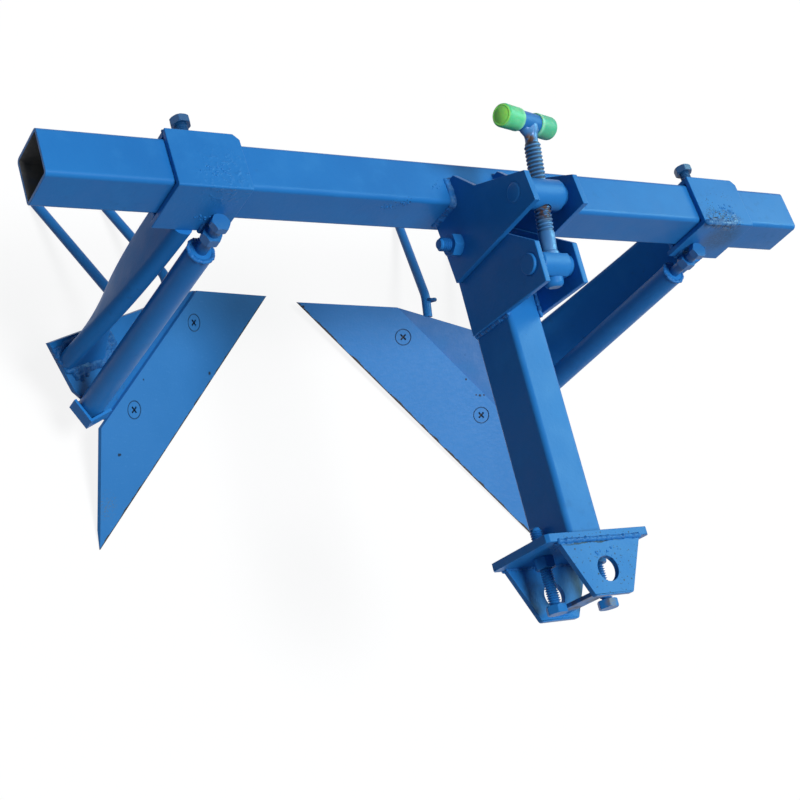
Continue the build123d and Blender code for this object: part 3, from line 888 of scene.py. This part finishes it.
for side in sides:
    share_paint = share_enamel(side)
    finish_of.update({
        side + "_collar_front": collar_enamels[side],
        side + "_collar_rear": collar_enamels[side],
        side + "_leg": leg_enamel,
        side + "_foot_plate": shaded_foot_enamel,
        side + "_set_bolt": set_bolt_enamel,
        side + "_axle_bolt": axle_enamel,
        side + "_axle_nut": axle_enamel,
        side + "_share": share_paint,
        side + "_share_screw_outer": share_paint,
        side + "_share_screw_inner": share_paint,
    })
for name, node in nodes.items():
    node.data.materials.clear()
    node.data.materials.append(finish_of[name])


# Sheared, sawn and rolled pieces get their worn edges as real rounds
flat_within = 0.6
sharp_from = 30.0


def eased(node, edge):
    """A copy of a solid, merged, with its sharp edges rounded over."""
    piece = copy_of(node, node + "_eased", flat=flat_within)
    bevel = piece.modifiers.new("worn edges", "BEVEL")
    bevel.width = edge * mm
    bevel.segments = 2
    bevel.limit_method = "ANGLE"
    bevel.angle_limit = math.radians(sharp_from)
    bevel.use_clamp_overlap = True
    apply_modifiers(piece)
    even_shade(piece)
    return take_over(piece, node)


worn_edges = {
    "toolbar": 0.7,
    "drawbar_tube": 0.7,
    "mast_plate_left": 0.9,
    "mast_plate_right": 0.9,
    "lug_left": 0.9,
    "lug_right": 0.9,
    "hitch_plate": 1.0,
    "hitch_cheek_upper": 1.0,
    "hitch_cheek_lower": 1.0,
    "tongue_strut": 0.6,
}
worn_side_edges = {
    "_collar_front": 0.9,
    "_collar_rear": 0.9,
    "_foot_plate": 0.8,
    "_share": 0.35,
    "_roller_tube": 0.5,
    "_roller_socket": 0.6,
}
for side in sides:
    worn_edges.update({side + name: edge for name, edge in worn_side_edges.items()})
eased_pieces = {node: eased(node, edge) for node, edge in worn_edges.items()}


def line_inside(piece, place, across, half_across, half_up):
    """Gives a tube's inner walls the bare scale; across is the number of the axis across the tube."""
    piece.data.materials.append(scale_finish)
    back = place.inverted()
    for face in piece.data.polygons:
        middle = back @ face.center
        facing = back.to_3x3() @ face.normal
        inner = abs(middle[across]) < half_across * mm and abs(middle.z) < half_up * mm
        sawn_end = abs(facing[1 - across]) >= 0.5
        if inner and not sawn_end:
            face.material_index = 1


wall_reach = 0.3
inner_bar = bar_half - bar_wall + wall_reach
line_inside(eased_pieces["toolbar"], toolbar_place, 1, inner_bar, inner_bar)
inner_tube = (tube_half - tube_wall + wall_reach, tube_rise - tube_wall + wall_reach)
line_inside(eased_pieces["drawbar_tube"], Matrix.Identity(4), 0, *inner_tube)

# Legs keep the twist of the solid, with one smooth skin
for side in sides:
    node = side + "_leg"
    leg = copy_of(node, node + "_skin")
    smooth(leg, 40)
    take_over(leg, node)

# Depth screw: a turned shaft with a cut thread and a neck that flares into the handle
screw_outline = [
    (0, -22.2), (5.6, -22.2), (6.25, -21.5), (6.25, 8.35), (8.9, 8.35), (9.5, 8.9),
    (9.5, 11.8), (8.9, 12.35), (thread_r, 12.9), (thread_r, thread_low), (7.2, 33.0), (7.2, 120.5),
    (6.25, 122.5), (6.25, 127.5), (6.9, 131.0), (8.4, 134.0), (8.4, 139.0), (0, 139.0),
]
shaft = lathed("screw_shaft", screw_outline)
ridge = cut_thread("screw_ridge", thread_root, thread_r, thread_pitch, thread_low, thread_high, steps=40)
flare_outline = [
    (0, 122.0), (3.9, 122.0), (4.6, 124.0), (6.0, 127.0),
    (8.4, 130.0), (10.8, 132.6), (11.5, 134.5), (0, 136.0),
]
flare_shift = -2.2
flare_thin = 0.62
flare = lathed("neck_flare", flare_outline)
edit_all(flare)
bpy.ops.transform.resize(value=(1.0, flare_thin, 1.0))
bpy.ops.transform.translate(value=(flare_shift * mm, 0, 0))
edit_done()
put(flare, Matrix.Rotation(handle_turn, 4, "Z"))
screw = put(joined("depth_screw_cut", [shaft, ridge, flare]), screw_place)
smooth(screw, 32)
take_over(screw, "depth_screw")

# Vinyl caps on the handle
cap_outline = [
    (0, 38.5), (7.8, 38.45), (8.3, 38.1), (8.9, 38.1), (9.4, 38.4), (10.5, 37.9), (11.3, 36.9),
    (11.6, 35.5), (11.6, 30.0), (11.45, 21.0), (11.5, 15.0), (11.4, 14.0), (11.0, 13.5),
    (10.1, 13.5), (10.1, 35.4), (0, 35.4),
]
handle_place = (
    screw_place
    @ Matrix.Translation((handle_shift * mm, 0, handle_at * mm))
    @ Matrix.Rotation(handle_turn, 4, "Z")
)
for side, cap in lathed_pair("grip_cap", cap_outline):
    put(cap, handle_place @ Matrix.Rotation(outward[side] * math.pi / 2, 4, "Y"))
    renamed(cap, "grip_" + side + "_cap")
    smooth(cap, 40)
    take_over(cap, "grip_" + side)

# Ends of the upper trunnion's pin in the mast plates
pin_outline = [(0, 0.8), (7.8, 0.7), (9.2, 0.35), (9.8, -0.3), (0, -0.3)]
for side, pin_face in lathed_pair("pin_face", pin_outline):
    pin_end = on_toolbar(outward[side] * mast_outer, upper_pin_ahead, upper_pin_up)
    put(pin_face, place_along(pin_end, pin_end + Vector((outward[side], 0, 0))))
    renamed(pin_face, "upper_pin_face_" + side)
    smooth(pin_face, 40)
    finish_piece(pin_face, "upper_trunnion", blue_enamel)


# Bolts with cut threads: the head comes from the solid, the shank is cut anew
depth_per_pitch = 0.62
shank_overlap = 1.0
nose_long = 1.2
nose_step = 0.9
root_sunk = 0.02


def threaded_bolt(node, head, end, radius, pitch, keep=0.4):
    """head and end are points on the bolt's axis; keep is how much of the solid's shank stays."""
    length = (end - head).length / mm
    root = radius - depth_per_pitch * pitch
    place = place_along(head, end)
    axis = (end - head).normalized()
    top = copy_of(node, node + "_head")
    edit_all(top)
    cut_at = head + axis * keep * mm
    bpy.ops.mesh.bisect(plane_co=cut_at, plane_no=axis, use_fill=True, clear_outer=True)
    edit_done()
    start = max(keep - shank_overlap, 0.0)
    nose = [(root, length - nose_long), (root - nose_step, length), (0, length)]
    core = put(lathed(node + "_core", [(0, start), (root, start), *nose], steps=32), place)
    ridge = cut_thread(node + "_ridge", root - root_sunk, radius, pitch, start, length - shank_overlap)
    piece = joined(node + "_threaded", [top, core, put(ridge, place)])
    smooth(piece, 32)
    return take_over(piece, node)


for side, x in stop_bolt_x.items():
    head = on_drawbar(x, stop_bolt_head, stop_bolt_up)
    tail = on_drawbar(x, stop_bolt_tail, stop_bolt_up)
    threaded_bolt("stop_bolt_" + side, head, tail, bolt_r, pitch=2.3)
for side, x in collar_x.items():
    head = on_toolbar(x, set_bolt_head, 0)
    nose = on_toolbar(x, set_bolt_nose, 0)
    threaded_bolt(side + "_set_bolt", head, nose, bolt_r, pitch=2.0)
head = on_toolbar(mast_outer, pivot_ahead, pivot_up)
tail = on_toolbar(pivot_end, pivot_ahead, pivot_up)
threaded_bolt("pivot_bolt", head, tail, pivot_r, pitch=2.2, keep=pivot_plain)

# Weld beads: one button, copied along each seam, fused into a rippled bead
nothing_selected()
bpy.ops.mesh.primitive_uv_sphere_add(segments=14, ring_count=8, radius=mm)
button = named("weld_button")
edit_all(button)
bpy.ops.transform.resize(value=(0.62, 1.0, 0.86))
edit_done()
buttons = {body: [] for body in frame["bodies"]}
button_step = 0.68
button_stray = 0.13

# Half widths of the beads, in millimetres
hitch_plate_bead = 3.0
lug_front_bead = 3.2
lug_top_bead = 3.0
lug_low_bead = 2.4
strut_bead = 1.9
bush_bead = 1.7
mast_low_bead = 2.4
collar_bead = 1.9
leg_top_bead = 2.6
foot_fill_bead = 4.4
set_nut_bead = 1.7
axle_nut_side_bead = 3.0
axle_nut_top_bead = 2.0
rod_bead = 2.2
roller_bead = 2.3


def seam(body, size, points, closed=False):
    """Lays buttons along a line of points; size is the bead's half width in millimetres."""
    line = list(points)
    if closed:
        line.append(line[0])
    step = button_step * size * mm
    carried = 0.0
    for start, end in zip(line, line[1:]):
        run = (end - start).length
        if run < 0.001 * mm:
            continue
        ahead = (end - start).normalized()
        turn = ahead.to_track_quat("X", "Z").to_matrix().to_4x4()
        at = carried
        while at < run:
            stray = Vector([dice.uniform(-button_stray, button_stray) * size * mm for _ in range(3)])
            lean = Matrix.Rotation(dice.uniform(0.25, 0.55), 4, "Y")
            roll = Matrix.Rotation(dice.uniform(-0.5, 0.5), 4, "X")
            grow = Matrix.Scale(size * dice.uniform(0.84, 1.14), 4)
            laid = double_of(button)
            laid.matrix_world = Matrix.Translation(start + ahead * at + stray) @ turn @ roll @ lean @ grow
            buttons[body].append(laid)
            at += step * dice.uniform(0.85, 1.15)
        carried = at - run


def drawbar_seam(size, *corners, closed=False):
    seam("drawbar", size, [on_drawbar(*corner) for corner in corners], closed)


def toolbar_seam(body, size, *corners):
    seam(body, size, [on_toolbar(*corner) for corner in corners])


def ring(body, size, place, radius, steps=28):
    """A bead round the Z axis of a place."""
    turns = [2 * math.pi * k / steps for k in range(steps)]
    points = [place @ on_drawbar(radius * math.cos(a), radius * math.sin(a), 0) for a in turns]
    seam(body, size, points, closed=True)


def cut_edge(node, point, facing):
    """The outline of a solid where it is cut by a plane, in order round its middle."""
    flat = []
    for vertex in nodes[node].data.vertices:
        near = abs((vertex.co - point).dot(facing)) < 0.06 * mm
        if near and all((vertex.co - other).length > 0.2 * mm for other in flat):
            flat.append(vertex.co.copy())
    middle = sum(flat, Vector()) / len(flat)
    first = (flat[0] - middle).normalized()
    second = facing.cross(first)
    return sorted(flat, key=lambda p: math.atan2((p - middle).dot(second), (p - middle).dot(first)))


def foot_edge_up(along_mm):
    """How far up the foot plate's rear edge lies at a place along the share."""
    (outer_along, outer_up), (inner_along, inner_up) = foot_edge
    return outer_up + (along_mm - outer_along) / (inner_along - outer_along) * (inner_up - outer_up)


roller_clear = 20.5
foot_side_spare = 2.0
foot_rear_kept = 3.0


def on_foot(side, point):
    """Whether a point lies over the foot plate, inside its rear edge and clear of the roller."""
    tip, along, up, _ = share_frames[side]
    back_along, back_up = foot_back[side]
    at = (point - tip).dot(along) / mm - back_along
    rise = (point - tip).dot(up) / mm - back_up
    over_plate = at > foot_edge[0][0] - foot_side_spare and rise < foot_edge_up(at) - foot_rear_kept
    off_roller = toolbar_place.inverted() @ point - on_drawbar(roller_x[side], -roller_ahead, 0)
    return over_plate and off_roller.to_2d().length > roller_clear * mm


# Drawbar seams
drawbar_seam(
    hitch_plate_bead,
    (-tube_half, plate_back, -tube_rise), (tube_half, plate_back, -tube_rise),
    (tube_half, plate_back, tube_rise), (-tube_half, plate_back, tube_rise),
    closed=True,
)
lug_proud = 0.5
for x in (-tube_half, tube_half):
    face = x + math.copysign(lug_proud, x)
    drawbar_seam(lug_front_bead, (face, lug_ahead, lug_low), (face, lug_ahead, tube_rise))
    drawbar_seam(lug_top_bead, (x, lug_ahead, tube_rise), (x, tube_end, tube_rise))
    drawbar_seam(lug_low_bead, (face, lug_ahead, lug_low), (face, tube_end, lug_low))
for z, size in ((cheek_high, 2.7), (cheek_low, 2.2), (-cheek_low, 2.2), (-cheek_high, 2.2)):
    drawbar_seam(size, (-cheek_half, plate_front, z), (cheek_half, plate_front, z))
for z in (cheek_low, -cheek_low):
    for y in (strut_ahead - strut_half_t, strut_ahead + strut_half_t):
        drawbar_seam(strut_bead, (-strut_half, y, z), (strut_half, y, z))
pivot_at = on_toolbar(0, pivot_ahead, pivot_up)
for x in (-tube_half, tube_half):
    bush_end = Matrix.Translation(pivot_at + on_drawbar(x, 0, 0))
    ring("drawbar", bush_bead, bush_end @ Matrix.Rotation(math.pi / 2, 4, "Y"), bush_r)

# Frame seams: mast plates on the toolbar, in two passes round the bar's corner
corner = bar_half - 1.2
corner_ease = 3.0
for side in sides:
    x = outward[side] * mast_outer
    inside = outward[side] * mast_inner
    back = mast_ear[side]
    for shift, size in ((0.0, 3.5), (3.6, 2.3)):
        out = x + outward[side] * shift
        toolbar_seam(
            "frame", size,
            (out, -bar_half, mast_low), (out, -bar_half, corner - corner_ease), (out, -corner, corner),
            (out, -corner + corner_ease, bar_half), (out, back, bar_half), (inside, back, bar_half),
        )
    toolbar_seam("frame", mast_low_bead, (x, -bar_half, mast_low), (inside, -bar_half, mast_low))

# Carriage seams, with the passes and fill round the foot of each leg
seam_kept = 1.0
bead_sunk = 0.3
rod_seam_at = 3.0
roller_rim_r = 12.6
roller_rim_sunk = 1.2
foot_passes = ((1.0, 4.4), (1.16, 4.6), (1.34, 4.2), (1.52, 3.4))
foot_fill = (((125, 180), (113, 146)), ((131, 172), (119, 141)), ((138, 162), (126, 139)))


def collar_seams(side):
    """The two edges where the collar's angles meet."""
    reach = collar_half - seam_kept
    ends = (collar_x[side] - reach, collar_x[side] + reach)
    for y, z in ((collar_outer, collar_inner), (-collar_inner, -collar_outer)):
        toolbar_seam(side + "_carriage", collar_bead, *((end, y, z) for end in ends))


def leg_seams(side):
    """Round the leg under its collar, and in widening passes round its foot."""
    body = side + "_carriage"
    leg = side + "_leg"
    seam(body, leg_top_bead, cut_edge(leg, on_toolbar(0, 0, -collar_outer), upward), closed=True)
    foot_line = cut_edge(leg, on_share(side, 0, 0, -share_t), share_frames[side][-1])
    middle = sum(foot_line, Vector()) / len(foot_line)
    for spread, size in foot_passes:
        line = [middle + (point - middle) * spread for point in foot_line]
        seam(body, size, [point for point in line if on_foot(side, point)])
    for line in foot_fill:
        seam(body, foot_fill_bead, [on_plate(side, along, up, -share_t) for along, up in line])


def nut_seams(side):
    """Round the set nut, and down both sides and over the top of the axle nut."""
    body = side + "_carriage"
    set_nut_face = toolbar_place @ Matrix.Translation(on_drawbar(collar_x[side], collar_outer, 0))
    ring(body, set_nut_bead, set_nut_face @ Matrix.Rotation(math.pi / 2, 4, "X"), set_nut_r)
    edges = (roller_x[side] - axle_nut_half, roller_x[side] + axle_nut_half)
    for edge in edges:
        heights = (axle_nut_top + seam_kept, axle_nut_low - seam_kept)
        toolbar_seam(body, axle_nut_side_bead, *((edge, -collar_outer, height) for height in heights))
    toolbar_seam(body, axle_nut_top_bead, *((edge, -collar_outer, axle_nut_top) for edge in edges))


def rod_seams(side):
    """Round each tail rod where it leaves the foot plate."""
    leaving = toolbar_turn @ Vector((0, math.cos(rod_rise), math.sin(rod_rise)))
    for along in rod_along:
        root = on_plate(side, along, foot_edge_up(along), -share_t - foot_t / 2)
        place = place_along(root + leaving * rod_seam_at * mm, root + leaving)
        ring(side + "_carriage", rod_bead, place, rod_r - bead_sunk)


def roller_seam(side):
    """Round the top of the roller, between its tube and its upper bush."""
    rim = on_drawbar(roller_x[side], -roller_ahead, roller_top - roller_rim_sunk)
    ring(side + "_roller", roller_bead, toolbar_place @ Matrix.Translation(rim), roller_rim_r)


for side in sides:
    collar_seams(side)
    leg_seams(side)
    nut_seams(side)
    rod_seams(side)
    roller_seam(side)

# The heavy bead along the right collar's top edge, and the smear behind it
right_x = collar_x["right"]
for size, back, down, ends in ((3.4, 1.0, 1.0, (-36, 8)), (2.4, 4.5, 0.8, (-28, -4))):
    edge = ((right_x + end, -collar_outer + back, collar_outer - down) for end in ends)
    toolbar_seam("right_carriage", size, *edge)


def fuse(body, pieces):
    """One bead per body: the buttons melted together and softened."""
    bead = joined(body + "_welds", pieces)
    settle(bead)
    melt = bead.modifiers.new("melt", "REMESH")
    melt.mode = "VOXEL"
    melt.voxel_size = 0.6 * mm
    soften = bead.modifiers.new("soften", "SMOOTH")
    soften.factor = 0.5
    soften.iterations = 3
    apply_modifiers(bead)
    only(bead)
    bpy.ops.object.shade_smooth()
    finish = carriage_weld_finish if body.endswith("_carriage") else weld_finish
    return finish_piece(bead, body, finish)


for body, pieces in buttons.items():
    if pieces:
        fuse(body, pieces)
bpy.data.objects.remove(button)

# Weld spatter: one low drop, copied over the plates beside the seams
nothing_selected()
bpy.ops.mesh.primitive_ico_sphere_add(subdivisions=2, radius=mm)
drop = named("spatter_drop")
edit_all(drop)
bpy.ops.transform.resize(value=(1.0, 1.0, 0.6))
bpy.ops.mesh.select_all(action="SELECT")
bpy.ops.mesh.bisect(plane_co=(0, 0, -0.1 * mm), plane_no=(0, 0, 1), use_fill=True, clear_inner=True)
edit_done()
pin_hole_clear = 14.5


def spatter(name, body, patches):
    """Drops on flat patches, each (middle, facing, spread in millimetres, how many)."""
    drops = []
    for middle, facing, spread, count in patches:
        place = place_along(middle, middle + facing)
        for _ in range(count):
            size = dice.uniform(0.5, 1.3)
            spot = Vector((dice.gauss(0, spread * mm), dice.gauss(0, 0.5 * spread * mm), 0))
            stretch = Matrix.Diagonal((size * dice.uniform(0.8, 1.3), size, size, 1.0))
            if body == "drawbar" and (place @ spot).to_2d().length < pin_hole_clear * mm:
                continue
            laid = double_of(drop)
            laid.matrix_world = place @ Matrix.Translation(spot) @ stretch
            drops.append(laid)
    piece = joined(name, drops)
    settle(piece)
    bpy.ops.object.shade_smooth()
    return finish_piece(piece, body, blue_enamel)


spatter("frame_spatter", "frame", [
    (on_toolbar(-106, -bar_half, 12), forward, 4, 12),
    (on_toolbar(-87, -bar_half, 19), forward, 3, 7),
    (on_toolbar(-48, -6, bar_half), upward, 6, 10),
    (on_toolbar(52, -4, bar_half), upward, 5, 10),
])
for side, x in collar_x.items():
    spatter(side + "_spatter", side + "_carriage", [
        (on_toolbar(x + 3, -12, collar_outer), upward, 8, 26),
        (on_toolbar(x - outward[side] * 4, -collar_outer, -16), forward, 4, 12),
    ])
spatter("hitch_spatter", "drawbar", [
    (on_drawbar(0, 14, cheek_high), Vector((0, 0, 1)), 9, 18),
    (on_drawbar(-36, plate_front, 20), Vector((0, -1, 0)), 5, 10),
])
bpy.data.objects.remove(drop)

# Camera at the photograph's place
camera_place = (-0.96217, -0.27105, 1.10144)
camera_turn = (27.1206, -30.9660, -15.4981)
camera_lens = 71.18
bpy.ops.object.camera_add(location=camera_place, rotation=[math.radians(a) for a in camera_turn])
camera = bpy.context.object
camera.data.lens = camera_lens
camera.data.sensor_width = 36.0
camera.data.clip_start = 0.05
camera.data.clip_end = 60.0
bpy.context.scene.camera = camera

# Floor, sky and lamps
floor_level = cad_box[0].z - 0.4 * mm
floor_size = 9.0
floor_middle = 0.3
floor_glow = 0.88
floor_bounce = (0.19, 0.21, 0.25)
floor_pale = (0.96, 0.96, 0.96)
plain_white = (1, 1, 1, 1)
sky_blue = (0.55, 0.78, 1.0, 1)
sky_strength = 0.13
sheen_colour = (0.50, 1.0, 0.95)


def seen_directly(tree):
    """One for rays that come straight from the camera, a mirror or a clear body."""
    paths = tree.nodes.new("ShaderNodeLightPath")
    total = paths.outputs["Is Camera Ray"]
    for name in ("Is Glossy Ray", "Is Transmission Ray"):
        node = tree.nodes.new("ShaderNodeMath")
        node.operation = "MAXIMUM"
        tree.links.new(total, node.inputs[0])
        tree.links.new(paths.outputs[name], node.inputs[1])
        total = node.outputs["Value"]
    return total


def blend_surfaces(tree, amount, first, second, end):
    """Mixes two shaders by an amount, as the surface of the tree's end node."""
    blend = tree.nodes.new("ShaderNodeMixShader")
    tree.links.new(amount, blend.inputs["Fac"])
    tree.links.new(first, blend.inputs[1])
    tree.links.new(second, blend.inputs[2])
    tree.links.new(blend.outputs["Shader"], tree.nodes[end].inputs["Surface"])


nothing_selected()
bpy.ops.mesh.primitive_plane_add(size=floor_size, location=(0, floor_middle, floor_level))
floor = named("floor")
settle(floor)
floor_paint = Finish("pale_floor")
tree = floor_paint.material.node_tree
seen = seen_directly(tree)
floor_paint.colour(floor_paint.mix(seen, floor_bounce, floor_pale))
floor_paint.set(Roughness=0.9)
glow = tree.nodes.new("ShaderNodeEmission")
glow.inputs["Color"].default_value = plain_white
glow_amount = floor_paint.times(seen, floor_glow)
painted = floor_paint.shader.outputs["BSDF"]
blend_surfaces(tree, glow_amount, painted, glow.outputs["Emission"], "Material Output")
floor.data.materials.append(floor_paint.material)

world = bpy.data.worlds.new("pale_sky")
bpy.context.scene.world = world
world.use_nodes = True
tree = world.node_tree
sky = tree.nodes["Background"]
sky.inputs["Color"].default_value = sky_blue
sky.inputs["Strength"].default_value = sky_strength
white = tree.nodes.new("ShaderNodeBackground")
white.inputs["Color"].default_value = plain_white
seen = seen_directly(tree)
blend_surfaces(tree, seen, sky.outputs["Background"], white.outputs["Background"], "World Output")


def lamp(name, kind, place, target, strength, size):
    """A lamp at a place, aimed at a target; size is in degrees for the sun and in metres otherwise."""
    data = bpy.data.lights.new(name, kind)
    data.energy = strength
    if kind == "SUN":
        data.angle = math.radians(size)
    else:
        data.shape = "DISK"
        data.size = size
    light = bpy.data.objects.new(name, data)
    bpy.context.scene.collection.objects.link(light)
    light.location = place
    light.rotation_euler = (Vector(target) - Vector(place)).to_track_quat("-Z", "Y").to_euler()
    return light


lamp("daylight", "SUN", place=(0.18, -0.40, 3.0), target=(0, 0.35, 0), strength=3.15, size=22)
sheen = lamp("sheen", "AREA", place=(2.6, 1.0, 2.3), target=(0.1, 0.3, 0), strength=160, size=2.6)
sheen.visible_diffuse = False
sheen.data.color = sheen_colour

bpy.context.scene.view_settings.view_transform = "Standard"
